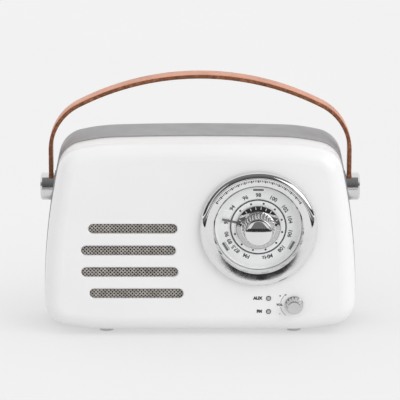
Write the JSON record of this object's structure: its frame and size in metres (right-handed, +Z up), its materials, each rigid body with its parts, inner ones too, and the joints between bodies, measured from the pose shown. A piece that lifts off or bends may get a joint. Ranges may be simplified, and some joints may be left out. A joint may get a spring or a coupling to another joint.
{
  "type": "tabletop radio",
  "caption": "Tabletop radio with slotted speaker front, round tuning dial, volume knob, swinging leather carrying handle and folding aerial.",
  "frame": {"origin": "on the table, under the middle of the outer box with the handle upright and the aerial folded", "axes": "+X to the right of someone facing the dial, +Y from the front to the back, +Z up"},
  "size_m": [0.2514, 0.1032, 0.2026],
  "materials": {
    "white_plastic": "satin",
    "grey_plastic": "satin",
    "steel": "plain",
    "rubber": "matt",
    "mesh_metal": "woven",
    "black_plastic": "matt",
    "foam": "foam ring",
    "painted_steel": "painted",
    "paper": "pressed paper",
    "iron": "plain",
    "chrome": "polished",
    "dial_white": "printed",
    "clear": "clear",
    "lamp_grey": "tinted",
    "board": "circuit board",
    "aluminium": "plain",
    "cell_wrap": "wrapped",
    "lead_red": "insulation",
    "lead_black": "insulation",
    "leather": "smooth",
    "gloss_black": "gloss",
    "needle_grey": "painted"
  },
  "bodies": {
    "casing": {"front_shell": "white_plastic", "rear_shell": "grey_plastic", "case_screws": "steel", "feet": "rubber", "speaker_mesh": "mesh_metal", "speaker_baffle": "black_plastic", "speaker_gasket": "foam", "speaker_basket": "painted_steel", "speaker_cone": "paper", "speaker_dust_cap": "paper", "speaker_magnet": "iron", "dial_bezel": "chrome", "dial_plate": "dial_white", "dial_surround": "dial_white", "dial_lens": "clear", "tuning_control": "steel", "tuning_nut": "steel", "tuning_bracket": "steel", "volume_control": "steel", "volume_nut": "steel", "indicator_lenses": "lamp_grey", "indicator_leds": "clear", "control_board": "board", "main_board": "board", "board_chips": "black_plastic", "board_capacitors": "aluminium", "aux_socket": "black_plastic", "charge_socket": "steel", "power_switch": "steel", "mode_switch": "black_plastic", "battery_cells": "cell_wrap", "battery_holder": "black_plastic", "battery_contacts": "steel", "small_screws": "steel", "aerial_base": "chrome", "aerial_nut": "steel", "speaker_lead": "lead_red", "battery_lead": "lead_red", "aerial_lead": "lead_black", "control_lead": "lead_black"},
    "handle": {"handle_strap": "leather", "handle_lug_left": "chrome", "handle_lug_right": "chrome", "pivot_washers": "steel", "pivot_bolts": "steel"},
    "tuning_knob": {"tuning_knob_skirt": "gloss_black", "tuning_knob_cap": "chrome", "tuning_shaft": "steel", "pointer_disc": "dial_white", "tuning_needle": "needle_grey"},
    "volume_knob": {"volume_knob": "chrome", "volume_shaft": "steel"},
    "power_slider": {"power_slider": "black_plastic"},
    "mode_button": {"mode_button": "black_plastic"},
    "aerial_yoke": {"aerial_swivel": "chrome", "aerial_pin": "steel"},
    "mast_1": {"aerial_mast_1": "chrome"},
    "mast_2": {"aerial_mast_2": "chrome"},
    "mast_3": {"aerial_mast_3": "chrome"},
    "mast_4": {"aerial_mast_4": "chrome"}
  },
  "joints": [
    {"name": "handle_swing", "type": "hinge", "parent": "casing", "child": "handle", "pos_m": [0, 0.0055, 0.111], "axis": [1, 0, 0], "range_deg": [-42, 42]},
    {"name": "tuning_turn", "type": "hinge", "parent": "casing", "child": "tuning_knob", "pos_m": [0.0454, -0.0384, 0.0877], "axis": [0, -1, 0], "range_deg": [-212, 57]},
    {"name": "volume_turn", "type": "hinge", "parent": "casing", "child": "volume_knob", "pos_m": [0.0736, -0.0384, 0.026], "axis": [0, -1, 0], "range_deg": [-140, 140]},
    {"name": "power_slide", "type": "slide", "parent": "casing", "child": "power_slider", "axis": [1, 0, 0], "range_m": [0, 0.004]},
    {"name": "mode_press", "type": "slide", "parent": "casing", "child": "mode_button", "axis": [0, -1, 0], "range_m": [0, 0.0008], "stiffness_N_per_m": 800, "springref_m": -0.0006},
    {"name": "aerial_swivel", "type": "hinge", "parent": "casing", "child": "aerial_yoke", "pos_m": [0.07, 0.0451, 0.136], "axis": [0, 1, 0], "range_deg": [0, 180]},
    {"name": "aerial_tilt", "type": "hinge", "parent": "aerial_yoke", "child": "mast_1", "pos_m": [0.07, 0.0485, 0.136], "axis": [0, 0, -1], "range_deg": [0, 90]},
    {"name": "mast_2_slide", "type": "slide", "parent": "mast_1", "child": "mast_2", "axis": [-1, 0, 0], "range_m": [0, 0.105]},
    {"name": "mast_3_slide", "type": "slide", "parent": "mast_2", "child": "mast_3", "axis": [-1, 0, 0], "range_m": [0, 0.105]},
    {"name": "mast_4_slide", "type": "slide", "parent": "mast_3", "child": "mast_4", "axis": [-1, 0, 0], "range_m": [0, 0.105]}
  ]
}
